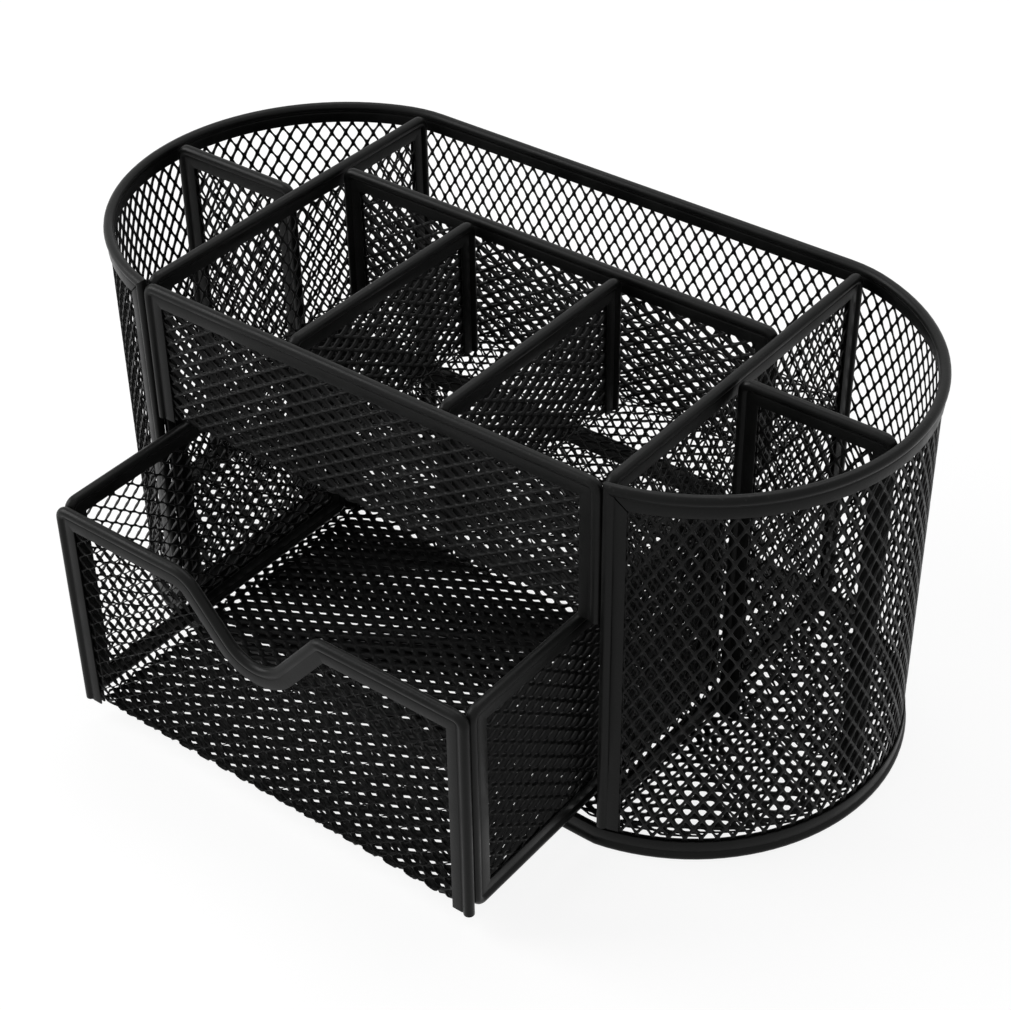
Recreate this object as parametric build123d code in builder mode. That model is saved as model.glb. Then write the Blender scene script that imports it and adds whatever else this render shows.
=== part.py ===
"""Pen stand with drawer: a welded desk organizer of black expanded steel mesh.

Frame: origin on the table under the middle of the welded body, X to the right along the front,
Y towards the back, Z up. Millimetres. The drawer is drawn part-way out, as it rests.

Every panel is a mesh sheet whose cut edges are held in a folded edging strip: a round bead at the
free edge and two flat legs that clamp the sheet. The sheets are plain solids of the mesh's outer
size and thickness, because the mesh's openings are too small to hold anything.
"""

from build123d import *
from math import asin, cos, degrees, radians, sqrt, tan
import os

# ---- sheet and edging strip ----
sheet_thickness = 0.6
bead_radius = 1.3
edging_width = 5.5
leg_thickness = 0.45
leg_clearance = 0.03
sheet_seat = 0.6
seat_clearance = 0.1
corner_radius = 3.4
bend_radius = 1.5
weld_gap = 0.1

# ---- welded body ----
bulkhead_spacing = 132.0
wall_half_depth = 53.0
front_corner_angle = 12.4
overall_height = 105.0
back_corner_radius = 30.0
front_corner_radius = 8.0
base_rim_height = 5.6
base_rim_flat = 0.1
mitre_gap = 0.3

# ---- compartments ----
shelf_height = 67.0
long_divider_y = 17.0
short_divider_spacing = 43.6
left_end_divider_y = 1.0
right_end_divider_y = -3.6

# ---- drawer ----
drawer_length = 100.0
drawer_side_gap = 3.6
drawer_top_gap = 1.0
drawer_running_gap = 0.3
drawer_pulled_out = 39.7
scoop_depth = 17.5
scoop_flank_angle = 50.0
scoop_bottom_radius = 9.0
scoop_left_shoulder_radius = 10.0
scoop_right_shoulder_radius = 4.0

# ---- edging section, worked out from the sizes above ----
least_radius = 0.3
half_sheet = sheet_thickness / 2
half_slot = half_sheet + leg_clearance
half_legs = half_slot + leg_thickness
sheet_inset = bead_radius + sheet_seat
slot_inset = sheet_inset - seat_clearance
leg_reach = edging_width - bead_radius
bead_pitch = 2 * bead_radius + weld_gap

# ---- plan: straight front and back, and ends that are arcs with a slight kink at the corners ----
bulkhead_x = bulkhead_spacing / 2
end_radius = wall_half_depth / cos(radians(front_corner_angle))
end_centre_x = bulkhead_x - wall_half_depth * tan(radians(front_corner_angle))


def rounded_corner(radius):
    """Where a rounded corner of the wall's middle line starts, and the degrees that it turns."""
    run = sqrt((end_radius - radius) ** 2 - (wall_half_depth - radius) ** 2)
    return end_centre_x + run, degrees(asin(run / (end_radius - radius)))


def wall_end_x(y):
    """Half-length of the wall's middle line at a given y, on its rounded ends."""
    return end_centre_x + sqrt(end_radius**2 - y**2)


def wall_back_y(x):
    """Half-depth of the wall's middle line at a given x, along the back and round its corner."""
    past = max(x - rounded_corner(back_corner_radius)[0], 0)
    return wall_half_depth - back_corner_radius + sqrt(back_corner_radius**2 - past**2)


# ---- front corners: the beads of the front panel, the wall and the bulkhead stand in a cluster ----
panel_bead_x = bulkhead_x - bead_pitch / 2
post_x = bulkhead_x + bead_pitch / 2
post_y = -sqrt(end_radius**2 - (post_x - end_centre_x) ** 2)
post_angle = degrees(asin((post_x - end_centre_x) / end_radius))
bulkhead_front_y = post_y + bead_pitch * cos(radians(30)) - bead_radius
bulkhead_back_y = wall_back_y(bulkhead_x + bead_radius) - bead_radius - weld_gap
bay_half_width = bulkhead_x - bead_radius - weld_gap

# ---- heights ----
base_top = base_rim_height + sheet_thickness
panel_bottom = base_top + weld_gap
shelf_top = shelf_height + sheet_thickness
divider_bottom = shelf_top + weld_gap
rim_bead_z = overall_height - bead_radius
rim_bottom = overall_height - edging_width
bulkhead_height = overall_height - panel_bottom
divider_height = overall_height - divider_bottom

# ---- drawer, at rest ----
drawer_half_width = bay_half_width - drawer_side_gap
drawer_bottom = base_top + drawer_running_gap
drawer_height = shelf_height - drawer_top_gap - drawer_bottom
drawer_bead_x = drawer_half_width - bead_radius
drawer_front_y = -wall_half_depth - drawer_pulled_out
drawer_back_y = drawer_front_y - 2 * bead_radius + drawer_length
drawer_side_length = drawer_length - 4 * bead_radius - 2 * weld_gap
drawer_side_y = (drawer_front_y + drawer_back_y) / 2


def write(part, name):
    """Labels a finished piece and writes it."""
    part.label = name
    export_step(part, f"parts/{name}.step")


# ---- outlines of flat panels, in the panel's own plane, a given inset in from its outer edge ----


def rounded(inset):
    """Corner radius that is left after an inset."""
    return max(corner_radius - inset, least_radius)


def hoop_line(half_width, height, inset):
    """Points and corner radii of the open line up one side, across the top and down the other."""
    x = half_width - inset
    top = height - inset
    return [(-x, 0), (-x, top), (x, top), (x, 0)], [rounded(inset), rounded(inset)]


def scoop_line(inset):
    """The same for the drawer's front, whose top dips in a finger scoop with a round bottom."""
    slope = radians(scoop_flank_angle)
    vertex_depth = scoop_depth + scoop_bottom_radius * (1 / cos(slope) - 1)
    x = drawer_half_width - inset
    top = drawer_height - inset
    mouth = vertex_depth / tan(slope) + inset * tan(slope / 2)
    vertex = drawer_height - vertex_depth - inset / cos(slope)
    points = [(-x, 0), (-x, top), (-mouth, top), (0, vertex), (mouth, top), (x, top), (x, 0)]
    left_shoulder = max(scoop_left_shoulder_radius - inset, least_radius)
    right_shoulder = max(scoop_right_shoulder_radius - inset, least_radius)
    bottom = scoop_bottom_radius + inset
    return points, [rounded(inset), left_shoulder, bottom, right_shoulder, rounded(inset)]


def area_under(points, radii):
    """Area that an open line closes off, down to its two ends."""
    with BuildSketch() as area:
        with BuildLine():
            FilletPolyline(*points, radius=radii)
            Line(points[-1], points[0])
        make_face()
    return area.sketch


def frame_area(half_width, height, inset):
    """Rounded rectangle that stands on the plane's origin."""
    with BuildSketch() as area:
        with Locations((0, height / 2)):
            RectangleRounded(2 * (half_width - inset), height - 2 * inset, rounded(inset))
    return area.sketch


# ---- flat panels ----


def edging(plane, bead_line, area):
    """Edging strip: legs between two insets, a bead along its line, and the slot for the sheet."""
    with BuildPart() as strip:
        with BuildSketch(plane):
            add(area(bead_radius))
            add(area(edging_width), mode=Mode.SUBTRACT)
        extrude(amount=half_legs, both=True)
        with BuildSketch(Plane(bead_line @ 0, z_dir=bead_line % 0)):
            Circle(bead_radius)
        sweep(path=bead_line)
        with BuildSketch(plane):
            add(area(slot_inset))
        extrude(amount=half_slot, both=True, mode=Mode.SUBTRACT)
    return strip.part


def hoop_edging(plane, line):
    """Edging on a panel's two sides and top, where line gives the points for an inset."""
    points, radii = line(bead_radius)
    with BuildLine(plane) as bead:
        FilletPolyline(*points, radius=radii)
    return edging(plane, bead.wire(), lambda inset: area_under(*line(inset)))


def hoop_sheet(plane, line):
    """Mesh sheet that is seated in such an edging."""
    with BuildPart() as sheet:
        with BuildSketch(plane):
            add(area_under(*line(sheet_inset)))
        extrude(amount=half_sheet, both=True)
    return sheet.part


def frame_edging(plane, half_width, height):
    """Edging round all four sides of a panel."""
    x = half_width - bead_radius
    low, high = bead_radius, height - bead_radius
    corners = [(x, low), (x, high), (-x, high), (-x, low)]
    with BuildLine(plane) as bead:
        FilletPolyline(*corners, radius=rounded(bead_radius), close=True)
    return edging(plane, bead.wire(), lambda inset: frame_area(half_width, height, inset))


def frame_sheet(plane, half_width, height):
    """Mesh sheet that is seated in such an edging."""
    with BuildPart() as sheet:
        with BuildSketch(plane):
            add(frame_area(half_width, height, sheet_inset))
        extrude(amount=half_sheet, both=True)
    return sheet.part


def facing_front(x, y, z):
    """Upright plane along the length, whose own x runs to the right."""
    return Plane(origin=(x, y, z), x_dir=(1, 0, 0), z_dir=(0, -1, 0))


def facing_side(x, y, z):
    """Upright plane along the depth, whose own x runs to the back."""
    return Plane(origin=(x, y, z), x_dir=(0, 1, 0), z_dir=(1, 0, 0))


def write_divider(name, plane, half_width, height):
    """A panel between two others: its sheet, and the edging on its sides and top."""
    line = lambda inset: hoop_line(half_width, height, inset)
    write(hoop_sheet(plane, line), f"{name}_mesh")
    write(hoop_edging(plane, line), f"{name}_edging")


# ---- the rounded plan ----


def wall_half(offset, stop_angle):
    """Right half of the wall's line, offset outwards, from the middle of the back round the end,
    to where it has stop_angle degrees left to turn before it would run along the front."""
    start_x, turn = rounded_corner(back_corner_radius)
    depth = wall_half_depth + offset
    with BuildLine() as half:
        back = Line((0, depth), (start_x, depth))
        bend = JernArc(back @ 1, back % 1, back_corner_radius + offset, -turn)
        JernArc(bend @ 1, bend % 1, end_radius + offset, turn + stop_angle - 180)
    return half.line


def plan_line(offset, z):
    """Closed outline of the plan at a height, offset outwards from the wall's middle line."""
    start_x, turn = rounded_corner(front_corner_radius)
    depth = wall_half_depth + offset
    with BuildLine() as outline:
        add(wall_half(offset, turn))
        bend = JernArc((start_x, -depth), (1, 0), front_corner_radius + offset, turn)
        Line(bend @ 0, (0, -depth))
        mirror(about=Plane.YZ)
    return Pos(0, 0, z) * outline.wire()


def plan_area(offset):
    """Area of the plan out to that outline."""
    return make_face(plan_line(offset, 0))


def wall_band(half_width, front_x):
    """Band along the wall, open at the front between minus and plus front_x."""
    with BuildSketch() as band:
        add(plan_area(half_width))
        add(plan_area(-half_width), mode=Mode.SUBTRACT)
        with Locations((0, -wall_half_depth)):
            Rectangle(2 * front_x, 2 * wall_half_depth, mode=Mode.SUBTRACT)
    return band.sketch


def post_band(half_width, front_x):
    """The stretch of that band which the right post's legs cover."""
    with BuildSketch() as band:
        add(wall_band(half_width, front_x))
        with Locations((post_x, -wall_half_depth)):
            Rectangle(2 * leg_reach, 2 * wall_half_depth, mode=Mode.INTERSECT)
    return band.sketch


def mitre_triangle(side):
    """Region to cut at the corner of rim and post: below their mitre is -1, above it is 1."""
    middle = post_x + rim_bead_z + side * -mitre_gap / sqrt(2)
    x = post_x + leg_reach / 2 + side * leg_reach
    z = rim_bead_z - leg_reach / 2 + side * leg_reach
    return Polygon((x, z), (middle - z, z), (x, middle - x), align=None, mode=Mode.PRIVATE)


os.makedirs("parts", exist_ok=True)

# ---- outer wall: one sheet from post to post, with its rim, its posts and the base rim ----

slot_front_x = post_x + slot_inset - bead_radius
sheet_front_x = post_x + sheet_inset - bead_radius

with BuildPart() as outer_wall_mesh:
    with BuildSketch(Plane.XY.offset(sheet_inset)):
        add(wall_band(half_sheet, sheet_front_x))
    extrude(amount=overall_height - 2 * sheet_inset)
write(outer_wall_mesh.part, "outer_wall_mesh")

with BuildLine() as wall_path:
    add(wall_half(0, post_angle))
    mirror(about=Plane.YZ)
rim_line = Pos(0, 0, rim_bead_z) * wall_path.wire()

with BuildPart() as wall_top_rim:
    with BuildSketch(Plane.XY.offset(rim_bottom)):
        add(wall_band(half_legs, post_x))
    extrude(amount=leg_reach)
    with BuildSketch(Plane.XZ):
        add(mitre_triangle(-1))
        mirror(about=Plane.YZ)
    extrude(amount=2 * wall_half_depth, mode=Mode.SUBTRACT)
    with BuildSketch(Plane(rim_line @ 0, z_dir=rim_line % 0)):
        Circle(bead_radius)
    sweep(path=rim_line)
    with Locations(rim_line @ 0, rim_line @ 1):
        Sphere(bead_radius)
    with BuildSketch(Plane.XY.offset(rim_bottom - bead_radius)):
        add(wall_band(half_slot, slot_front_x))
    extrude(amount=leg_reach + 2 * bead_radius - slot_inset, mode=Mode.SUBTRACT)
write(wall_top_rim.part, "wall_top_rim")

with BuildPart() as wall_right_post:
    with BuildSketch(Plane.XY.offset(panel_bottom)):
        add(post_band(half_legs, post_x))
        with Locations((post_x, post_y)):
            Circle(bead_radius)
    extrude(amount=rim_bead_z - bead_radius - weld_gap - panel_bottom)
    with BuildSketch(Plane.XZ):
        add(mitre_triangle(1))
    extrude(amount=2 * wall_half_depth, mode=Mode.SUBTRACT)
    with BuildSketch(Plane.XY.offset(panel_bottom)):
        add(wall_band(half_slot, slot_front_x))
    extrude(amount=bulkhead_height, mode=Mode.SUBTRACT)
write(wall_right_post.part, "wall_right_post")
write(mirror(wall_right_post.part, about=Plane.YZ), "wall_left_post")

# the base rim's bead is flattened a little where it stands
base_bead_z = bead_radius - base_rim_flat
base_line = plan_line(0, base_bead_z)

with BuildPart() as base_rim:
    with BuildSketch(Plane.XY.offset(base_bead_z)):
        add(plan_area(half_legs))
        add(plan_area(-half_legs), mode=Mode.SUBTRACT)
    extrude(amount=base_rim_height - base_bead_z)
    with BuildSketch(Plane(base_line @ 0, z_dir=base_line % 0)):
        Circle(bead_radius)
    sweep(path=base_line)
    split(bisect_by=Plane.XY, keep=Keep.TOP)
    with BuildSketch(Plane.XY.offset(slot_inset)):
        add(plan_area(half_slot))
        add(plan_area(-half_slot), mode=Mode.SUBTRACT)
    extrude(amount=base_rim_height, mode=Mode.SUBTRACT)
write(base_rim.part, "base_rim")

# ---- base: rests on the rim's inner leg, and its front edge is folded down into the rim ----

base_lip_length = 2 * (panel_bead_x - bead_radius)

with BuildPart() as base_mesh:
    with BuildSketch(Plane.XY.offset(base_rim_height)):
        add(plan_area(-half_sheet - weld_gap))
        with Locations((0, half_sheet - wall_half_depth)):
            Rectangle(base_lip_length, 2 * sheet_thickness)
    extrude(amount=sheet_thickness)
    with BuildSketch(Plane.XY.offset(sheet_inset)):
        with Locations((0, -wall_half_depth)):
            Rectangle(base_lip_length, sheet_thickness)
    extrude(amount=base_rim_height - sheet_inset)
write(base_mesh.part, "base_mesh")

# ---- bulkheads, either side of the drawer bay ----

bulkhead_y = (bulkhead_front_y + bulkhead_back_y) / 2
bulkhead_half_depth = (bulkhead_back_y - bulkhead_front_y) / 2

for side, x in (("left", -bulkhead_x), ("right", bulkhead_x)):
    plane = facing_side(x, bulkhead_y, panel_bottom)
    write(frame_sheet(plane, bulkhead_half_depth, bulkhead_height), f"{side}_bulkhead_mesh")
    write(frame_edging(plane, bulkhead_half_depth, bulkhead_height), f"{side}_bulkhead_edging")

# ---- sheets that are bent at the foot of an upright face ----

bend_height = sheet_thickness + bend_radius
bend_overlap = 1.0


def upright_face(plane, line):
    """The upright face, seated in its edging. It starts above the bend at its foot."""
    with BuildPart() as face:
        with BuildSketch(plane):
            add(area_under(*line(sheet_inset)))
            Rectangle(2 * bulkhead_spacing, 2 * bend_height, mode=Mode.SUBTRACT)
        extrude(amount=half_sheet, both=True)
    return face.part


def bent_strip(points, half_width):
    """The bend, and the floor beside it, from the section's middle line in depth and height. It
    is narrow enough to pass between the legs of the edging on either side of the face."""
    with BuildPart() as strip:
        with BuildSketch(Plane.YZ):
            with BuildLine():
                FilletPolyline(*points, radius=bend_radius + half_sheet)
            trace(line_width=sheet_thickness)
        extrude(amount=half_width, both=True)
    return strip.part


def floor_patch(half_width, front_y, back_y, z):
    """The stretch of floor behind the edging's legs, which is as wide as its neighbours allow."""
    with BuildPart() as patch:
        with BuildSketch(Plane.XY.offset(z)):
            with Locations((0, (front_y + back_y) / 2)):
                Rectangle(2 * half_width, back_y - front_y)
        extrude(amount=sheet_thickness)
    return patch.part


# ---- front panel and shelf: one sheet, bent at the shelf's front edge ----

panel_half_width = panel_bead_x + bead_radius
panel_plane = facing_front(0, -wall_half_depth, shelf_height)
shelf_front_y = -wall_half_depth + bead_radius + weld_gap
shelf_back_y = wall_back_y(bay_half_width) - half_sheet - weld_gap
wing_half_width = bulkhead_x - half_sheet - weld_gap
wing_front_y = bulkhead_front_y + edging_width + weld_gap
wing_back_y = bulkhead_back_y - edging_width - weld_gap
shelf_section = [
    (-wall_half_depth, shelf_height + bend_height + bend_overlap),
    (-wall_half_depth, shelf_height + half_sheet),
    (shelf_back_y, shelf_height + half_sheet),
]


def panel_line(inset):
    """The front panel's line, whose height is taken from the underside of the shelf."""
    return hoop_line(panel_half_width, overall_height - shelf_height, inset)


with BuildPart() as front_panel_and_shelf_mesh:
    add(upright_face(panel_plane, panel_line))
    add(bent_strip(shelf_section, panel_half_width - edging_width - weld_gap))
    add(floor_patch(bay_half_width, shelf_front_y, shelf_back_y, shelf_height))
    add(floor_patch(wing_half_width, wing_front_y, wing_back_y, shelf_height))
write(front_panel_and_shelf_mesh.part, "front_panel_and_shelf_mesh")
write(hoop_edging(panel_plane, panel_line), "front_panel_edging")

# ---- dividers over the shelf, which part the middle into one long and three short bays ----

long_plane = facing_front(0, long_divider_y, divider_bottom)
write_divider("long_divider", long_plane, bay_half_width, divider_height)

short_back_y = long_divider_y - bead_radius - weld_gap
short_y = (shelf_front_y + short_back_y) / 2
short_half_length = (short_back_y - shelf_front_y) / 2

for side, x in (("left", -short_divider_spacing / 2), ("right", short_divider_spacing / 2)):
    plane = facing_side(x, short_y, divider_bottom)
    write_divider(f"{side}_short_divider", plane, short_half_length, divider_height)

# ---- end dividers, which part each rounded end in two ----

end_inner_x = bulkhead_x + bead_radius + weld_gap

for side, sign, y in (("left", -1, left_end_divider_y), ("right", 1, right_end_divider_y)):
    end_outer_x = wall_end_x(abs(y) + bead_radius) - bead_radius - weld_gap
    plane = facing_front(sign * (end_inner_x + end_outer_x) / 2, y, panel_bottom)
    write_divider(f"{side}_end_divider", plane, (end_outer_x - end_inner_x) / 2, bulkhead_height)

# ---- drawer tray: one sheet, bent up into the front and the back ----

floor_half_width = drawer_half_width - 2 * bead_radius - weld_gap
floor_front_y = drawer_front_y + half_legs + weld_gap
floor_back_y = drawer_back_y - half_legs - weld_gap
drawer_front_plane = facing_front(0, drawer_front_y, drawer_bottom)
drawer_back_plane = facing_front(0, drawer_back_y, drawer_bottom)
tray_section = [
    (drawer_front_y, drawer_bottom + bend_height + bend_overlap),
    (drawer_front_y, drawer_bottom + half_sheet),
    (drawer_back_y, drawer_bottom + half_sheet),
    (drawer_back_y, drawer_bottom + bend_height + bend_overlap),
]


def drawer_back_line(inset):
    """The line round the drawer's back."""
    return hoop_line(drawer_half_width, drawer_height, inset)


with BuildPart() as drawer_tray_mesh:
    add(upright_face(drawer_front_plane, scoop_line))
    add(upright_face(drawer_back_plane, drawer_back_line))
    add(bent_strip(tray_section, drawer_half_width - edging_width - weld_gap))
    add(floor_patch(floor_half_width, floor_front_y, floor_back_y, drawer_bottom))
write(drawer_tray_mesh.part, "drawer_tray_mesh")
write(hoop_edging(drawer_front_plane, scoop_line), "drawer_front_edging")
write(hoop_edging(drawer_back_plane, drawer_back_line), "drawer_back_edging")

# ---- drawer sides, between front and back ----

for side, x in (("left", -drawer_bead_x), ("right", drawer_bead_x)):
    plane = facing_side(x, drawer_side_y, drawer_bottom)
    write(frame_sheet(plane, drawer_side_length / 2, drawer_height), f"drawer_{side}_side_mesh")
    write(frame_edging(plane, drawer_side_length / 2, drawer_height), f"drawer_{side}_side_edging")
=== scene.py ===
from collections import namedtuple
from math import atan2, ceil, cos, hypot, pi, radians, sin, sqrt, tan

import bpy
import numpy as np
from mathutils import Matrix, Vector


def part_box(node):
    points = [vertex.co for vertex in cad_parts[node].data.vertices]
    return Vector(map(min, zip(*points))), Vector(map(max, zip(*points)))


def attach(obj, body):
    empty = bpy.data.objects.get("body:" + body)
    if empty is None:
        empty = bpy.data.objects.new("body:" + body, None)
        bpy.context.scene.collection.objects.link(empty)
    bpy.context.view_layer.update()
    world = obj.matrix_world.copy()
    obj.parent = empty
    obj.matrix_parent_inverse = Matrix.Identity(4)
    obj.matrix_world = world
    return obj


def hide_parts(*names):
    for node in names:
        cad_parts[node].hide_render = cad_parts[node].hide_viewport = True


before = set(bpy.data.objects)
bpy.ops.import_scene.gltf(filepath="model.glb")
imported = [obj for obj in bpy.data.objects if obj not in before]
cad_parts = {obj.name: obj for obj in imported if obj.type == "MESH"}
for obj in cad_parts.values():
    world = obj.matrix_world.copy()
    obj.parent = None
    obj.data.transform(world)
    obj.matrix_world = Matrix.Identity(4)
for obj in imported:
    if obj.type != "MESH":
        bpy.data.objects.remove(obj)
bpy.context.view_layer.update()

# Pen stand with drawer: the finish round the welded body and its sliding drawer.
#
# Every panel is expanded steel mesh whose cut edges are clamped in a folded edging strip, and all
# of it is powder coated satin black. The panels' places and sizes come from the frame's boxes.
# Lengths are millimetres here. They become metres where a mesh is made.
#
# Three coordinates place a point of a panel: s along the panel, t up it, and v out of it.

mm = 0.001

# ---- expanded mesh: short and long way of a cell, and the rise of its twisted strands ----
Cells = namedtuple("Cells", "short_way long_way rise")
wall_cells = Cells(3.73, 6.2, 0.08)
bulkhead_cells = Cells(3.77, 5.8, 0.08)
panel_cells = Cells(3.7, 5.9, 0.4)
drawer_cells = Cells(4.05, 6.1, 0.45)
base_cells = Cells(3.6, 6.1, 0.3)
opening_short_share = 0.76
opening_long_share = 0.72
opening_roundness = 1.27
strand_half_thickness = 0.19
twist_share = 0.1
side_fractions = (0.0, 0.2, 0.5, 0.8)

# ---- how the rows of each sheet are turned from square, in degrees anticlockwise ----
bulkhead_askew = -2.5
short_divider_askew = 2.5
long_divider_askew = 1.0
drawer_side_askew = -4.0
base_askew = 2.0
tray_askew = 2.0

# ---- the two floors: size of their openings against the usual, and how far they stand apart ----
base_opening = 0.62
tray_floor_opening = 0.72
tray_wall_opening = 1.06
base_drop = 0.2
tray_floor_lift = 0.35

# ---- edging strip: a round bead at the free edge, and two legs that clamp the sheet ----
bead_radius = 1.3
edging_width = 5.5
half_legs = 0.78
half_slot = 0.33
slot_inset = 1.8
sheet_inset = 1.9
corner_radius = 3.4
least_radius = 0.3
weld_gap = 0.1
crimp_depth = 0.1
crimp_width = 0.45
crimp_shoulder = 0.03
lip_start_share = 0.45
lip_middle_share = 0.13
sharp_from = 40.0
bead_points = 9
station_step = 3.0
undivided = 1e6

# ---- the strip's unevenness: two slow waves along it ----
long_wave = 23.0
long_wave_height = 0.04
short_wave = 9.1
short_wave_height = 0.025
short_wave_shift = 2.3

# ---- plan of the welded body ----
bulkhead_x = 66.0
wall_half_depth = 53.0
front_corner_angle = 12.4
back_corner_radius = 30.0
front_corner_radius = 8.0
base_rim_height = 5.6
base_rim_flat = 0.1
mitre_gap = 0.3

# ---- bent sheets ----
bend_radius = 1.8
bend_height = 2.1
half_sheet = 0.3

# ---- finger scoop of the drawer's front ----
scoop_depth = 17.5
scoop_flank_angle = 50.0
scoop_bottom_radius = 9.0
scoop_left_shoulder_radius = 10.0
scoop_right_shoulder_radius = 4.0


def box_of(node):
    """Lowest and highest corner of a node, in millimetres."""
    low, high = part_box(node)
    return np.array(low) / mm, np.array(high) / mm


# ---- outlines ----


def outline(corners, radii, insets, closed=False, step=station_step):
    """Lines round a panel that runs clockwise, one for each inset from its outer edge, as an array
    of stations by insets by two. A corner moves in along the vector whose part along each
    neighbouring side's inward normal is the inset. An outer corner's radius shrinks by the inset,
    an inner corner's grows by it, and a radius of nought keeps the corner sharp. Straights are
    divided into steps, and every inset has the same number of stations."""
    corners = np.asarray(corners, float)
    insets = np.asarray(insets, float)[:, None]
    along = np.roll(corners, -1, axis=0) - corners
    along /= np.hypot(along[:, 0], along[:, 1])[:, None]
    inward = np.stack([along[:, 1], -along[:, 0]], axis=1)
    pieces = []
    if not closed:
        pieces.append((corners[0] + insets * inward[0])[None])
    bends = range(len(corners)) if closed else range(1, len(corners) - 1)
    for bend, radius in zip(bends, radii):
        before, after = along[bend - 1], along[bend]
        turn = atan2(before[0] * after[1] - before[1] * after[0], before @ after)
        mitre = (inward[bend - 1] + inward[bend]) / (1 + inward[bend - 1] @ inward[bend])
        corner = corners[bend] + insets * mitre
        if radius == 0:
            pieces.append(corner[None])
            continue
        side = -1 if turn > 0 else 1
        round_radius = np.maximum(radius - side * insets, least_radius)
        start = corner - round_radius * tan(abs(turn) / 2) * before
        count = 3 + int(radius * abs(turn))
        angle = np.linspace(0, abs(turn), count)[:, None, None]
        sideways = side * (1 - np.cos(angle)) * round_radius * inward[bend - 1]
        pieces.append(start + np.sin(angle) * round_radius * before + sideways)
    if not closed:
        pieces.append((corners[-1] + insets * inward[-2])[None])
    stations = []
    following = pieces[1:] + ([pieces[0]] if closed else [])
    for piece, next_piece in zip(pieces, following):
        stations.append(piece)
        gap = next_piece[0] - piece[-1]
        count = max(1, round(hypot(*gap[0]) / step))
        fractions = (np.arange(1, count) / count)[:, None, None]
        stations.append(piece[-1] + fractions * gap)
    if not closed:
        stations.append(pieces[-1])
    return np.concatenate(stations)


def hoop_corners(half_width, height):
    """Corners of the open line up one side of a panel, across its top and down the other."""
    return [(-half_width, 0), (-half_width, height), (half_width, height), (half_width, 0)]


def scoop_corners(half_width, height):
    """The same for the drawer's front: its top dips between two flanks that would meet in a point
    below the scoop's round bottom."""
    slope = radians(scoop_flank_angle)
    point_depth = scoop_depth + scoop_bottom_radius * (1 / cos(slope) - 1)
    mouth = point_depth / tan(slope)
    left, right = (-half_width, height), (half_width, height)
    scoop = [(-mouth, height), (0, height - point_depth), (mouth, height)]
    return [(-half_width, 0), left, *scoop, right, (half_width, 0)]


hoop_radii = [corner_radius] * 2
frame_radii = [corner_radius] * 4
scoop_radii = [
    corner_radius,
    scoop_left_shoulder_radius,
    scoop_bottom_radius,
    scoop_right_shoulder_radius,
    corner_radius,
]


def depth_inside(points, line):
    """For each point, its depth inside a closed line that runs clockwise, negative outside it,
    and the direction in which that depth grows. The nearest point of each side of the line is the
    point's own projection on it, held between the side's ends."""
    nearest = np.full(len(points), np.inf)
    depth = np.zeros(len(points))
    inward = np.zeros_like(points)
    for start, end in zip(line, np.roll(line, -1, axis=0)):
        along = end - start
        length = hypot(*along)
        if length == 0:
            continue
        normal = np.array([along[1], -along[0]]) / length
        fraction = np.clip((points - start) @ along / length**2, 0, 1)
        apart = points - start - fraction[:, None] * along
        distance = np.hypot(apart[:, 0], apart[:, 1])
        side = np.where(apart @ normal < 0, -1.0, 1.0)
        closer = distance < nearest
        signed = (side * distance)[:, None]
        direction = np.where(distance[:, None] > 1e-6, apart / np.where(signed, signed, 1), normal)
        nearest = np.where(closer, distance, nearest)
        depth = np.where(closer, side * distance, depth)
        inward = np.where(closer[:, None], direction, inward)
    return depth, inward


# ---- places: functions from s, t and v to x, y and z ----

Panel = namedtuple("Panel", "place half_width height")


def panel_of(node):
    """The plane and size of a flat upright panel, from the box of its edging. Along the length, s
    runs to the right and v to the front. Along the depth, s runs to the back and v to the right."""
    low, high = box_of(node)
    middle, size = (low + high) / 2, high - low

    def along_length(s, t, v):
        return np.stack([middle[0] + s, middle[1] - v, low[2] + t], axis=-1)

    def along_depth(s, t, v):
        return np.stack([middle[0] + v, middle[1] + s, low[2] + t], axis=-1)

    lengthwise = size[0] > size[1]
    place = along_length if lengthwise else along_depth
    return Panel(place, (size[0] if lengthwise else size[1]) / 2, size[2])


end_radius = wall_half_depth / cos(radians(front_corner_angle))
end_centre_x = bulkhead_x - wall_half_depth * tan(radians(front_corner_angle))


def corner_start(radius):
    """Where a rounded corner of the plan starts along the length, and the angle that it turns."""
    run = sqrt((end_radius - radius) ** 2 - (wall_half_depth - radius) ** 2)
    return end_centre_x + run, atan2(run, wall_half_depth - radius)


back_start_x, back_turn = corner_start(back_corner_radius)
front_start_x, front_turn = corner_start(front_corner_radius)
back_corner_end = back_start_x + back_corner_radius * back_turn
end_length = end_radius * (pi - front_turn - back_turn)
front_corner_end = back_corner_end + end_length + front_corner_radius * front_turn
half_plan = front_corner_end + front_start_x


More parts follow.
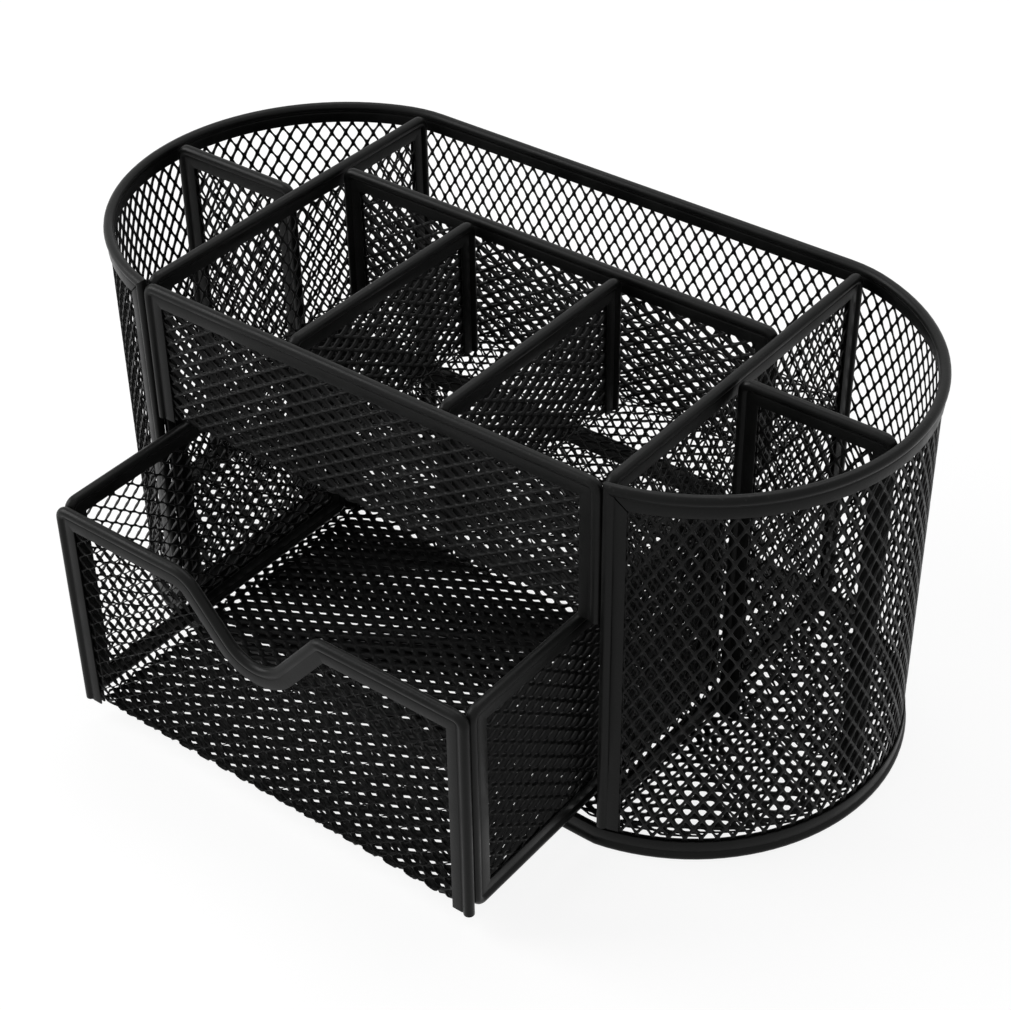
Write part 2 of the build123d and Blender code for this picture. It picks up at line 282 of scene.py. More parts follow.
def wall_place(s, t, v):
    """The wall: s runs along the plan's line from the middle of the back, to the left where it is
    positive, and v goes outwards. Half the plan is a straight, a corner arc, the large end arc, a
    smaller corner arc and the front's straight. The angle that the line has turned grows evenly
    with s on each arc, and v is added to the arc's radius."""
    run = np.abs(s)
    back_angle = np.clip((run - back_start_x) / back_corner_radius, 0, back_turn)
    end_angle = np.clip((run - back_corner_end) / end_radius, 0, end_length / end_radius)
    front_angle = (run - back_corner_end - end_length) / front_corner_radius
    angle = back_angle + end_angle + np.clip(front_angle, 0, front_turn)
    on_back = run < back_corner_end
    on_end = run < back_corner_end + end_length
    radius = np.where(on_back, back_corner_radius, np.where(on_end, end_radius, front_corner_radius))
    centre_x = np.where(on_end, end_centre_x, front_start_x)
    centre_x = np.where(on_back, np.minimum(run, back_start_x), centre_x)
    centre_x = np.where(run > front_corner_end, half_plan - run, centre_x)
    centre_y = np.where(on_end, 0.0, front_corner_radius - wall_half_depth)
    centre_y = np.where(on_back, wall_half_depth - back_corner_radius, centre_y)
    x = centre_x + (radius + v) * np.sin(angle)
    y = centre_y + (radius + v) * np.cos(angle)
    return np.stack([-np.sign(s) * x, y, t + 0 * x], axis=-1)


def bent_place(section):
    """A sheet bent about lines along the length: s runs to the right, t along the section's line
    of depth and height, with round bends, and v to the left of that line. Returns the place
    function and the length of t up to each station of the section."""
    line = outline(section, [bend_radius] * (len(section) - 2), [0.0], step=undivided)[:, 0]
    steps = np.diff(line, axis=0)
    run = np.concatenate([[0], np.cumsum(np.hypot(steps[:, 0], steps[:, 1]))])
    direction = np.unwrap(np.arctan2(steps[:, 1], steps[:, 0]))
    angle = np.concatenate([direction[:1], (direction[1:] + direction[:-1]) / 2, direction[-1:]])

    def place(s, t, v):
        turned = np.interp(t, run, angle)
        y = np.interp(t, run, line[:, 0]) - v * np.sin(turned)
        z = np.interp(t, run, line[:, 1]) + v * np.cos(turned)
        return np.stack([s + 0 * y, y, z], axis=-1)

    return place, run


# ---- meshes ----


def add_object(name, data):
    """An object with this data, at the origin, in the scene."""
    placed = bpy.data.objects.new(name, data)
    bpy.context.scene.collection.objects.link(placed)
    return placed


def add_piece(name, points, faces, look):
    """Makes a piece from millimetre points and arrays of faces with equally many corners. The
    faces are turned round if the closed shape's signed volume, a sixth of the sum of the triple
    products of its triangles, says that they point inwards."""
    volume = 0.0
    for face in faces:
        for corner in range(1, face.shape[1] - 1):
            one, two, three = (points[face[:, k]] for k in (0, corner, corner + 1))
            volume += np.einsum("ij,ij->", one, np.cross(two, three))
    if volume < 0:
        faces = [face[:, ::-1] for face in faces]
    corners = np.concatenate([face.ravel() for face in faces]).astype(np.int32)
    sizes = np.concatenate([np.full(len(face), face.shape[1]) for face in faces])
    mesh = bpy.data.meshes.new(name)
    mesh.vertices.add(len(points))
    mesh.vertices.foreach_set("co", (points * mm).astype(np.float32).ravel())
    mesh.loops.add(len(corners))
    mesh.loops.foreach_set("vertex_index", corners)
    mesh.polygons.add(len(sizes))
    mesh.polygons.foreach_set("loop_start", (np.cumsum(sizes) - sizes).astype(np.int32))
    mesh.polygons.foreach_set("use_smooth", np.ones(len(sizes), dtype=bool))
    mesh.update(calc_edges=True)
    mesh.materials.append(look)
    return add_object(name, mesh)


def strip_section(reach):
    """The edging's closed section as insets and offsets out of the panel: round the bead by equal
    angles from its outermost point, through the crimp beside it, down the leg's face, round its
    free edge, along the slot to its bottom, and back the same way on the other side."""
    neck = pi - np.arcsin(half_legs / bead_radius)
    angle = np.linspace(0, neck, bead_points)
    bead = np.stack([bead_radius * (1 - np.cos(angle)), bead_radius * np.sin(angle)], axis=1)
    crimp_start = bead[-1, 0]
    crimp_floor = half_legs - crimp_depth
    lip = half_legs - half_slot
    lip_start, lip_middle = lip_start_share * lip, lip_middle_share * lip
    rest = np.array([
        (crimp_start + 0.3 * crimp_width, crimp_floor),
        (crimp_start + 0.7 * crimp_width, crimp_floor),
        (crimp_start + crimp_width, half_legs - crimp_shoulder),
        (crimp_start + 1.4 * crimp_width, half_legs),
        (reach - lip_start, half_legs),
        (reach - lip_middle, half_legs - lip_middle),
        (reach, half_legs - lip_start),
        (reach - lip_middle, half_slot + lip_middle),
        (reach - lip_start, half_slot),
        (slot_inset, half_slot),
    ])
    half = np.concatenate([bead, rest])
    mirrored = half[:0:-1] * (1, -1)
    section = np.concatenate([half, mirrored])
    return section[:, 0], section[:, 1]


def add_strip(name, points, closed, look):
    """Makes an edging strip from a grid of stations by section points. An open strip gets a face
    across each end."""
    stations, ring = points.shape[:2]
    here = np.arange(stations if closed else stations - 1)[:, None] * ring
    there = (here + ring) % (stations * ring)
    point = np.arange(ring)[None]
    following = (point + 1) % ring
    quads = np.stack([here + point, here + following, there + following, there + point], axis=-1)
    faces = [quads.reshape(-1, 4)]
    if not closed:
        faces.append(point[:, ::-1])
        faces.append((stations - 1) * ring + point)
    piece = add_piece(name, points.reshape(-1, 3), faces, look)
    piece.data.set_sharp_from_angle(angle=radians(sharp_from))
    return piece


def strip_unevenness(run, seed):
    """Offset of a folded strip from its plane: two slow waves along it, set back by their heights
    so that it never goes outwards."""
    long_part = long_wave_height * np.sin(run / long_wave + seed)
    short_part = short_wave_height * np.sin(run / short_wave + short_wave_shift * seed)
    return long_part + short_part - (long_wave_height + short_wave_height)


def add_panel_strip(node, corners, radii, closed, look, seed):
    """Makes the edging of a flat panel that replaces a node. An open line's edging is uneven, by
    waves that start where the seed says."""
    panel = panel_of(node)
    inset, offset = strip_section(edging_width)
    lines = outline(corners, radii, inset, closed)
    outer = lines[:, 0]
    steps = np.diff(outer, axis=0)
    run = np.concatenate([[0], np.cumsum(np.hypot(steps[:, 0], steps[:, 1]))])[:, None]
    uneven = 0 if closed else strip_unevenness(run, seed)
    points = panel.place(lines[..., 0], lines[..., 1], offset + uneven + 0 * run)
    return add_strip(f"{node}_strip", points, closed, look)


def opening_rings(cells):
    """One opening's cell. The outer ring follows the rhombus that repeats: on each side a point
    stands at a fraction f between two corners. The inner ring is the same point scaled until the
    sum of its two parts, each to the power of the roundness, is one, times the opening's size."""
    corners = np.array([(1, 0), (0, 1), (-1, 0), (0, -1)], float)
    fraction = np.array(side_fractions)[None, :, None]
    ring = corners[:, None] * (1 - fraction) + np.roll(corners, -1, axis=0)[:, None] * fraction
    ring = ring.reshape(-1, 2)
    size = (np.abs(ring) ** opening_roundness).sum(axis=1) ** (1 / opening_roundness)
    cell = ring * (cells.short_way / 2, cells.long_way / 2)
    hole = cell / size[:, None] * (opening_short_share, opening_long_share)
    return cell, hole


def rise_above_sheet(hole, cells):
    """Height of a hole's edge out of the sheet, from minus one to one: the strands are twisted, so
    it rises on one side of the short way and sinks on the other, and crosses the sheet within a
    small share of the short way either side of the middle."""
    return -np.clip(hole[:, 0] / (twist_share * cells.short_way), -1, 1)


# How a sheet's border is treated: openings whose middles lie within the outline are kept, what
# stands out past it is pressed back in over a short way, and the strands lie flat in the edging.
keep_depth = -0.8
press_from = 2.5
press_out = 3.9
flat_depth = 3.6
flat_fade = 1.0

# How far the lattice reaches past the outline, and what joins two whole micrometres into one key.
lattice_margin = 1.5
key_base = 10**7


def add_sheet(name, line, place, look, cells, upright=False, turned=1, askew=0, shift=None,
              opened=None, part=None):
    """Makes a sheet of expanded mesh within a closed clockwise line of s and t. Its openings stand
    on two rectangular lattices of the long way and the short way, half a step apart, with the long
    way up the sheet where upright, and the whole turned by askew degrees, as the sheet was cut.
    turned is the side to which the strands are twisted. shift gives how far out of its plane the
    mesh stands at s and t, opened the size of an opening there against the usual, and part says
    which openings are in this piece."""
    quarter_turn = np.eye(2) if upright else np.array([[0.0, -1.0], [1.0, 0.0]])
    slant = radians(askew)
    way = quarter_turn @ np.array([[cos(slant), sin(slant)], [-sin(slant), cos(slant)]])
    reach = np.abs(line).max() * lattice_margin
    columns = np.arange(-ceil(reach / cells.short_way), ceil(reach / cells.short_way) + 1)
    rows = np.arange(-ceil(reach / cells.long_way), ceil(reach / cells.long_way) + 1)
    lattice = np.stack(np.meshgrid(columns, rows), axis=-1).reshape(-1, 2)
    centres = np.concatenate([lattice, lattice + 0.5]) * (cells.short_way, cells.long_way) @ way
    low, high = line.min(axis=0) + keep_depth, line.max(axis=0) - keep_depth
    centres = centres[((centres > low) & (centres < high)).all(axis=1)]
    centres = centres[depth_inside(centres, line)[0] > keep_depth]
    if part is not None:
        centres = centres[part(centres)]

    cell, hole = opening_rings(cells)
    ring = len(cell)
    outer = (centres[:, None] + cell @ way).reshape(-1, 2)
    size = opened(centres[:, 0], centres[:, 1])[:, None, None] if opened else 1
    inner = (centres[:, None] + size * (hole @ way)).reshape(-1, 2)
    whole = np.round(outer / mm).astype(np.int64)
    key = whole[:, 0] * key_base + whole[:, 1]
    _, first, shared = np.unique(key, return_index=True, return_inverse=True)
    outer_at = shared.reshape(-1, ring)
    inner_at = len(first) + np.arange(len(inner)).reshape(-1, ring)
    flat = np.concatenate([outer[first], inner])
    hole_rise = cells.rise * rise_above_sheet(hole, cells)
    rise = np.concatenate([np.zeros(len(first)), np.tile(hole_rise, len(centres))])

    depth, inward = depth_inside(flat, line)
    pressed = np.maximum((depth + press_out) * press_from / (press_from + press_out), 0)
    pressed = np.where(depth < press_from, pressed, depth)
    flat = flat + inward * (pressed - depth)[:, None]
    lift = np.clip((pressed - flat_depth) / flat_fade, 0, 1)
    lift = lift * lift * (3 - 2 * lift)
    s, t = flat[:, 0], flat[:, 1]
    middle = lift * (turned * rise + (shift(s, t) if shift else 0))
    faces_at = (middle + strand_half_thickness, middle - strand_half_thickness)
    points = np.concatenate([place(s, t, face_at) for face_at in faces_at])

    back = len(flat)
    outer_next, inner_next = np.roll(outer_at, -1, axis=1), np.roll(inner_at, -1, axis=1)
    front = np.stack([outer_at, outer_next, inner_next, inner_at], axis=-1).reshape(-1, 4)
    wall = np.stack([inner_at, inner_next, inner_next + back, inner_at + back], axis=-1)
    edge = np.stack([outer_at, outer_next], axis=-1).reshape(-1, 2)
    edge_key = edge.min(axis=1) * back + edge.max(axis=1)
    _, edge_first, edge_count = np.unique(edge_key, return_index=True, return_counts=True)
    rim = edge[edge_first[edge_count == 1]]
    border = np.stack([rim[:, 1], rim[:, 0], rim[:, 0] + back, rim[:, 1] + back], axis=-1)
    faces = [front, front[:, ::-1] + back, wall.reshape(-1, 4), border]
    return add_piece(name, points, faces, look)


# ---- finishes ----


def new_group(name, inputs, outputs):
    """A shader node group with named sockets, given as (name, socket type, value)."""
    group = bpy.data.node_groups.new(name, "ShaderNodeTree")
    for direction, sockets in (("INPUT", inputs), ("OUTPUT", outputs)):
        for socket_name, kind, value in sockets:
            socket = group.interface.new_socket(socket_name, in_out=direction, socket_type=kind)
            if value is not None:
                socket.default_value = value
    return group


def add_node(tree, kind, inputs=None, **settings):
    """Adds a node, sets its properties, and sets or links its inputs by name or number."""
    node = tree.nodes.new(kind)
    for setting, value in settings.items():
        setattr(node, setting, value)
    for socket, value in (inputs or {}).items():
        if isinstance(value, bpy.types.NodeSocket):
            tree.links.new(value, node.inputs[socket])
        else:
            node.inputs[socket].default_value = value
    return node


def powder_coat_group():
    """Powder coat on steel: fine grains in the height, cloudy patches in the roughness and the
    colour, and pale specks of dust that lie thicker where the surface faces up."""
    group = new_group(
        "powder coat",
        [
            ("Colour", "NodeSocketColor", (0.02, 0.02, 0.02, 1)),
            ("Roughness", "NodeSocketFloat", 0.45),
            ("Grain", "NodeSocketFloat", 2200.0),
            ("Dust", "NodeSocketFloat", 0.3),
        ],
        [
            ("Colour", "NodeSocketColor", None),
            ("Roughness", "NodeSocketFloat", None),
            ("Height", "NodeSocketFloat", None),
        ],
    )
    entry = group.nodes.new("NodeGroupInput")
    place = add_node(group, "ShaderNodeTexCoord").outputs["Object"]
    grain = add_node(group, "ShaderNodeTexNoise", {"Vector": place, "Scale": entry.outputs["Grain"],
                                                   "Detail": 2.0, "Roughness": 0.6})
    cloud = add_node(group, "ShaderNodeTexNoise", {"Vector": place, "Scale": 110.0, "Detail": 3.0})
    speck = add_node(group, "ShaderNodeTexNoise", {"Vector": place, "Scale": 1400.0, "Detail": 1.0})
    patch = add_node(group, "ShaderNodeMapRange", {"Value": cloud.outputs["Fac"], "From Min": 0.3,
                                                   "From Max": 0.7, "To Min": 0.75, "To Max": 1.25})
    tone = add_node(group, "ShaderNodeVectorMath", {0: entry.outputs["Colour"],
                                                    1: patch.outputs["Result"]},
                    operation="MULTIPLY")
    normal = add_node(group, "ShaderNodeNewGeometry").outputs["Normal"]
    up = add_node(group, "ShaderNodeSeparateXYZ", {"Vector": normal}).outputs["Z"]
    lying = add_node(group, "ShaderNodeMapRange", {"Value": up, "From Min": -0.2, "From Max": 1.0,
                                                   "To Min": 0.15, "To Max": 1.0})
    spots = add_node(group, "ShaderNodeMapRange", {"Value": speck.outputs["Fac"], "From Min": 0.66,
                                                   "From Max": 0.78})
    dusty = add_node(group, "ShaderNodeMath", {0: lying.outputs["Result"],
                                               1: spots.outputs["Result"]}, operation="MULTIPLY")
    dusted = add_node(group, "ShaderNodeMath", {0: dusty.outputs[0], 1: entry.outputs["Dust"]},
                      operation="MULTIPLY")
    colour = add_node(group, "ShaderNodeMix", {"Factor": dusted.outputs[0], 6: tone.outputs[0],
                                               7: (0.16, 0.155, 0.15, 1)}, data_type="RGBA")
    rough = add_node(group, "ShaderNodeMath", {0: entry.outputs["Roughness"],
                                               1: patch.outputs["Result"]}, operation="MULTIPLY")
    add_node(group, "NodeGroupOutput", {"Colour": colour.outputs[2], "Roughness": rough.outputs[0],
                                        "Height": grain.outputs["Fac"]})
    return group


powder_coat = powder_coat_group()

# Height of the coat's grains, and the level of its reflection.
grain_height = 0.05
coat_reflection = 0.12


def coated_steel(name, colour, roughness, grain, dust, relief):
    """A material of powder-coated steel with its own tone, grain and dust."""
    material = bpy.data.materials.new(name)
    material.use_nodes = True
    tree = material.node_tree
    shader = tree.nodes["Principled BSDF"]
    coat = add_node(tree, "ShaderNodeGroup", node_tree=powder_coat)
    coat.inputs["Colour"].default_value = colour
    coat.inputs["Roughness"].default_value = roughness
    coat.inputs["Grain"].default_value = grain
    coat.inputs["Dust"].default_value = dust
    bump = add_node(tree, "ShaderNodeBump", {"Height": coat.outputs["Height"], "Strength": relief,
                                             "Distance": grain_height * mm})
    tree.links.new(coat.outputs["Colour"], shader.inputs["Base Color"])
    tree.links.new(coat.outputs["Roughness"], shader.inputs["Roughness"])
    tree.links.new(bump.outputs["Normal"], shader.inputs["Normal"])
    shader.inputs["Specular IOR Level"].default_value = coat_reflection
    return material


mesh_black = coated_steel("coated_mesh", (0.0045, 0.0046, 0.0046, 1), 0.42, 2600.0, 0.1, 0.5)
strip_black = coated_steel("coated_edging", (0.0055, 0.0057, 0.0055, 1), 0.38, 2200.0, 0.12, 0.6)


# ---- the pieces ----


def finish(piece, body, slot, *nodes):
    """Puts a piece on its body and lets it stand for its nodes. Its slot is not used."""
    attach(piece, body)
    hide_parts(*nodes)


def flat_panel(name, body, closed, seed, cells, upright=False, turned=1, askew=0):
    """A flat panel: its mesh and the edging on its sides and top, or all round it where closed."""
    edging, sheet = f"{name}_edging", f"{name}_mesh"
    panel = panel_of(edging)
    corners = hoop_corners(panel.half_width, panel.height)
    radii = frame_radii if closed else hoop_radii
    strip = add_panel_strip(edging, corners, radii, closed, strip_black, seed)
    finish(strip, body, "edging_strip", edging)
    line = outline(corners, radii, [sheet_inset], closed)[:, 0]
    cut = add_sheet(f"{sheet}_cut", line, panel.place, mesh_black, cells, upright, turned, askew)
    finish(cut, body, "expanded_mesh", sheet)


for count, side in enumerate(("left", "right")):
    flat_panel(f"{side}_bulkhead", "organizer", True, count, bulkhead_cells, upright=True,
               turned=-1, askew=bulkhead_askew)
    flat_panel(f"{side}_short_divider", "organizer", False, 2 + count, panel_cells,
               askew=short_divider_askew)
    flat_panel(f"{side}_end_divider", "organizer", False, 4 + count, bulkhead_cells, upright=True)
flat_panel("drawer_left_side", "drawer", True, 6, drawer_cells, turned=-1, askew=drawer_side_askew)
flat_panel("drawer_right_side", "drawer", True, 7, drawer_cells, askew=drawer_side_askew)
flat_panel("long_divider", "organizer", False, 8, panel_cells, askew=long_divider_askew)

# ---- outer wall, in two halves that meet in the middle of the back ----

overall_height = box_of("wall_top_rim")[1][2]
post_x = bulkhead_x + bead_radius + weld_gap / 2
post_angle = np.arcsin((post_x - end_centre_x) / end_radius)
post_run = back_corner_end + end_radius * (pi - back_turn - post_angle)
sheet_run = post_run + bead_radius - sheet_inset
sheet_top = overall_height - sheet_inset
wall_outline = np.array([
    (-sheet_run, sheet_inset),
    (-sheet_run, sheet_top),
    (sheet_run, sheet_top),
    (sheet_run, sheet_inset),
])
# Keeps openings whose middles lie on the seam in one half alone.
seam_shift = 0.01
for side, sign in (("left", 1), ("right", -1)):
    half_wall = add_sheet(
        f"outer_wall_mesh_{side}_cut", wall_outline, wall_place, mesh_black, wall_cells,
        upright=True, part=lambda middles: sign * (middles[:, 0] + seam_shift) > 0,
    )
    finish(half_wall, "organizer", "expanded_mesh", "outer_wall_mesh")

# ---- the wall's rim and posts, mitred where they meet, and the base rim ----

strip_inset, strip_offset = strip_section(edging_width)
mitre_run_in = 8.0
mitre_steps = 4
bead_gap_share = 0.15
gap_share = np.clip((strip_inset - bead_radius) / bead_radius, bead_gap_share, 1)
gap_in_legs = gap_share * mitre_gap / sqrt(2)
beyond_edge = strip_inset + gap_in_legs


def to_mitre(start, end):
    """Stations from one place to an end that differs for each section point."""
    return start + np.linspace(0, 1, mitre_steps)[1:, None] * (end - start)


rim_stations = round(2 * (post_run - mitre_run_in) / station_step)
rim_run = np.linspace(mitre_run_in - post_run, post_run - mitre_run_in, rim_stations)
rim_end = to_mitre(post_run - mitre_run_in, post_run + bead_radius - beyond_edge)
rim_middle = np.broadcast_to(rim_run[:, None], (rim_stations, len(strip_inset)))
rim_s = np.concatenate([-rim_end[::-1], rim_middle, rim_end])
rim_t = overall_height - strip_inset + 0 * rim_s
rim_points = wall_place(rim_s, rim_t, strip_offset)
top_rim = add_strip("wall_top_rim_strip", rim_points, False, strip_black)
finish(top_rim, "organizer", "edging_strip", "wall_top_rim")

post_low = box_of("wall_right_post")[0][2]
for side, sign in (("left", 1), ("right", -1)):
    below = np.arange(post_low, overall_height - mitre_run_in, station_step)
    straight = np.broadcast_to(below[:, None], (len(below), len(strip_inset)))
    top = to_mitre(below[-1], overall_height - beyond_edge)
    post_t = np.concatenate([straight, top])
    post_s = sign * (post_run + bead_radius - strip_inset) + 0 * post_t
    post_points = wall_place(post_s, post_t, strip_offset)
    post = add_strip(f"wall_{side}_post_strip", post_points, False, strip_black)
    finish(post, "organizer", "edging_strip", f"wall_{side}_post")

base_inset, base_offset = strip_section(base_rim_height + base_rim_flat)
base_stations = round(2 * half_plan / station_step)
base_s = np.linspace(-half_plan, half_plan, base_stations, endpoint=False)[:, None]
base_t = np.maximum(base_inset - base_rim_flat, 0)
base_points = wall_place(base_s + 0 * base_t, base_t + 0 * base_s, base_offset)
base_strip = add_strip("base_rim_strip", base_points, True, strip_black)
finish(base_strip, "organizer", "edging_strip", "base_rim")

# ---- base: a flat sheet that rests on the base rim's inner leg ----

base_top = box_of("base_mesh")[1][2]
plan_run = np.linspace(half_plan, -half_plan, 4 * base_stations, endpoint=False)
base_outline = wall_place(plan_run, 0, -half_sheet - weld_gap)[:, :2]


def base_place(s, t, v):
    """The base: s runs to the right, t to the back and v up."""
    return np.stack([s, t, base_top - half_sheet + v], axis=-1)


def base_shift(s, t):
    """The base's mesh hangs below its plane, clear of the tray's floor."""
    return -base_drop + 0 * s


def base_opened(s, t):
    """The base's openings are all of one size."""
    return base_opening + 0 * s


base_cut = add_sheet("base_mesh_cut", base_outline, base_place, mesh_black, base_cells,
                     askew=base_askew, shift=base_shift, opened=base_opened)
finish(base_cut, "organizer", "expanded_mesh", "base_mesh")

# ---- front panel and shelf: one sheet, bent at the shelf's front edge ----

front_panel = panel_of("front_panel_edging")
panel_low, panel_high = box_of("front_panel_edging")
shelf_low, shelf_high = box_of("front_panel_and_shelf_mesh")
panel_y = (panel_low[1] + panel_high[1]) / 2
panel_sheet_half = front_panel.half_width - sheet_inset
bend_half = front_panel.half_width - edging_width - weld_gap
shelf_half = shelf_high[0]
shelf_section = [
    (shelf_high[1], shelf_low[2] + half_sheet),
    (panel_y, shelf_low[2] + half_sheet),
    (panel_y, shelf_high[2]),
]
shelf_place, shelf_run = bent_place(shelf_section)
panel_foot = shelf_run[-1] - (shelf_high[2] - shelf_low[2] - bend_height)
shelf_front = shelf_high[1] - (panel_y + bead_radius + weld_gap)
wing_front = shelf_front - edging_width
wing_back = edging_width
shelf_inner = bulkhead_x - bead_radius - weld_gap
right_side = [
    (panel_sheet_half, shelf_run[-1]),
    (panel_sheet_half, panel_foot),
    (bend_half, panel_foot),
    (bend_half, shelf_front),
    (shelf_inner, shelf_front),
    (shelf_inner, wing_front),
    (shelf_half, wing_front),
    (shelf_half, wing_back),
    (shelf_inner, wing_back),
    (shelf_inner, 0),
]
shelf_outline = np.array([(-s, t) for s, t in right_side[::-1]] + right_side)
shelf_cut = add_sheet("front_panel_and_shelf_mesh_cut", shelf_outline, shelf_place, mesh_black,
                      panel_cells)
finish(shelf_cut, "organizer", "expanded_mesh", "front_panel_and_shelf_mesh")

panel_corners = hoop_corners(front_panel.half_width, front_panel.height)
panel_strip = add_panel_strip("front_panel_edging", panel_corners, hoop_radii, False,
                              strip_black, 9)
finish(panel_strip, "organizer", "edging_strip", "front_panel_edging")

# ---- drawer tray: one sheet, bent up into the back and the scooped front ----

drawer_front = panel_of("drawer_front_edging")
tray_low, tray_high = box_of("drawer_tray_mesh")
front_y = tray_low[1] + half_sheet
back_y = tray_high[1] - half_sheet
tray_floor_z = tray_low[2] + half_sheet
tray_section = [
    (back_y, tray_high[2]),
    (back_y, tray_floor_z),
    (front_y, tray_floor_z),
    (front_y, tray_high[2]),
]
tray_place, tray_run = bent_place(tray_section)
tray_length = tray_run[-1]
wall_height = tray_high[2] - tray_low[2]
tray_sheet_half = drawer_front.half_width - sheet_inset
tray_bend_half = drawer_front.half_width - edging_width - weld_gap
tray_floor_half = drawer_front.half_width - 2 * bead_radius - weld_gap
bend_in_run = wall_height - bend_height
floor_in_run = wall_height - half_sheet - bend_radius + half_legs + weld_gap
scoop_points = scoop_corners(drawer_front.half_width, drawer_front.height)
front_line = outline(scoop_points, scoop_radii, [sheet_inset], step=undivided)[:, 0]
front_line = front_line + (0, tray_length - tray_high[2] + tray_low[2])
lower_right = [
    (tray_sheet_half, tray_length - bend_in_run),
    (tray_bend_half, tray_length - bend_in_run),
    (tray_bend_half, tray_length - floor_in_run),
    (tray_floor_half, tray_length - floor_in_run),
    (tray_floor_half, floor_in_run),
    (tray_bend_half, floor_in_run),
    (tray_bend_half, bend_in_run),
    (tray_sheet_half, bend_in_run),
    (tray_sheet_half, 0),
]
lower_left = [(-s, t) for s, t in lower_right[::-1]]
tray_outline = np.concatenate([lower_left, front_line[1:-1], lower_right])


def on_tray_floor(t):
    """One on the tray's floor and nought on its front and back, with a ramp up each bend."""
    from_end = np.minimum(t, tray_length - t)
    return np.clip((from_end - bend_in_run) / bend_height, 0, 1)


def tray_shift(s, t):
    """Lifts the tray's floor off the base: v points down there."""
    return -tray_floor_lift * on_tray_floor(t)


def tray_opened(s, t):
    """The tray's openings are small on its floor, which looks nearly shut in the photograph, and
    large on its front and back."""
    return tray_wall_opening + (tray_floor_opening - tray_wall_opening) * on_tray_floor(t)


tray_cut = add_sheet("drawer_tray_mesh_cut", tray_outline, tray_place, mesh_black, drawer_cells,
                     turned=-1, askew=tray_askew, shift=tray_shift, opened=tray_opened)
finish(tray_cut, "drawer", "expanded_mesh", "drawer_tray_mesh")

scoop_strip = add_panel_strip("drawer_front_edging", scoop_points, scoop_radii, False,
                              strip_black, 10)
finish(scoop_strip, "drawer", "edging_strip", "drawer_front_edging")
drawer_back = panel_of("drawer_back_edging")
back_corners = hoop_corners(drawer_back.half_width, drawer_back.height)
back_strip = add_panel_strip("drawer_back_edging", back_corners, hoop_radii, False,
                             strip_black, 11)
finish(back_strip, "drawer", "edging_strip", "drawer_back_edging")

# ---- floor, light and camera ----


def background_ray(tree):
    """One on rays from the camera, from gloss and from glass, which see the background."""
    path = add_node(tree, "ShaderNodeLightPath").outputs
    gloss = add_node(tree, "ShaderNodeMath", {0: path["Is Camera Ray"], 1: path["Is Glossy Ray"]},
                     operation="MAXIMUM").outputs[0]
    return add_node(tree, "ShaderNodeMath", {0: gloss, 1: path["Is Transmission Ray"]},
                    operation="MAXIMUM").outputs[0]


# Strength of the world's light on the object, of the floor's own white, and the share of that
# white in what the camera sees of the floor.
room_fill = 0.3
floor_white = 1.1
floor_white_share = 0.8

world = bpy.data.worlds.new("white_room")
bpy.context.scene.world = world
world.use_nodes = True
room = world.node_tree
room_light = add_node(room, "ShaderNodeMapRange", {"Value": background_ray(room),
                                                   "To Min": room_fill, "To Max": 1.0})
room.nodes["Background"].inputs["Color"].default_value = (1, 1, 1, 1)
room.links.new(room_light.outputs["Result"], room.nodes["Background"].inputs["Strength"])

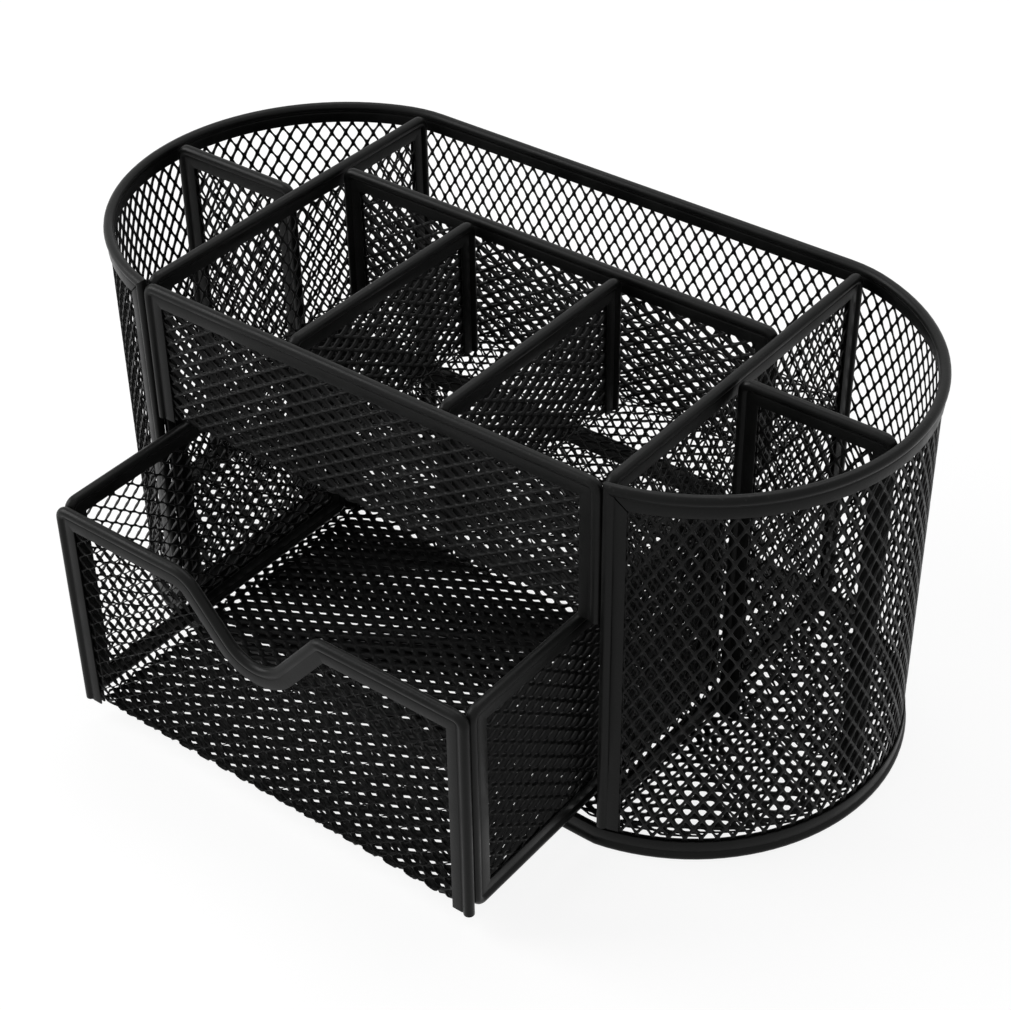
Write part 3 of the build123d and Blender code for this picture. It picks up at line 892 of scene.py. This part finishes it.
floor_mesh = bpy.data.meshes.new("floor")
floor_reach = 3.0
floor_mesh.from_pydata(
    [(floor_reach * x, floor_reach * y, 0) for x, y in ((-1, -1), (1, -1), (1, 1), (-1, 1))],
    [],
    [(0, 1, 2, 3)],
)
floor = add_object("floor", floor_mesh)
floor_look = bpy.data.materials.new("pale_floor")
floor_look.use_nodes = True
floor_tree = floor_look.node_tree
floor_tree.nodes.clear()
matt = add_node(floor_tree, "ShaderNodeBsdfDiffuse", {"Color": (0.8, 0.8, 0.8, 1)})
white = add_node(floor_tree, "ShaderNodeEmission", {"Strength": floor_white})
seen = add_node(floor_tree, "ShaderNodeMath", {0: background_ray(floor_tree),
                                               1: floor_white_share}, operation="MULTIPLY")
both = add_node(floor_tree, "ShaderNodeMixShader", {0: seen.outputs[0], 1: matt.outputs[0],
                                                    2: white.outputs[0]})
add_node(floor_tree, "ShaderNodeOutputMaterial", {"Surface": both.outputs[0]})
floor_mesh.materials.append(floor_look)


def add_softbox(name, place, aim, width, height, power):
    """A rectangular area lamp that faces a point, in metres and watts."""
    lamp = bpy.data.lights.new(name, "AREA")
    lamp.shape = "RECTANGLE"
    lamp.size = width
    lamp.size_y = height
    lamp.energy = power
    softbox = add_object(name, lamp)
    softbox.location = place
    softbox.rotation_euler = (Vector(aim) - Vector(place)).to_track_quat("-Z", "Y").to_euler()


object_middle = (0, -0.01, 0.05)
add_softbox("left_softbox", (-0.75, -0.45, 0.6), object_middle, 0.5, 0.7, 7.0)
add_softbox("top_softbox", (-0.1, 0.35, 0.95), object_middle, 0.9, 0.5, 4.0)

# The camera stands at the photograph's viewing angle, turned a little about its own axis.
camera_azimuth = radians(38.008)
camera_elevation = radians(37.335)
camera_roll = radians(-0.801)
camera_distance = 0.41299
camera_aim = Vector((0.07335, -0.09499, 0.12812))
level = cos(camera_elevation)
back_axis = Vector((sin(camera_azimuth) * level, -cos(camera_azimuth) * level, sin(camera_elevation)))
right_level = Vector((0, 0, 1)).cross(back_axis).normalized()
up_level = back_axis.cross(right_level)
right_axis = cos(camera_roll) * right_level + sin(camera_roll) * up_level
up_axis = cos(camera_roll) * up_level - sin(camera_roll) * right_level
lens = bpy.data.cameras.new("camera")
lens.sensor_width = 36.0
lens.lens = 79.38
lens.clip_start = 0.01
camera = add_object("camera", lens)
turn = Matrix((right_axis, up_axis, back_axis)).transposed()
camera.matrix_world = Matrix.Translation(camera_aim + camera_distance * back_axis) @ turn.to_4x4()
bpy.context.scene.camera = camera
bpy.context.scene.view_settings.view_transform = "Standard"
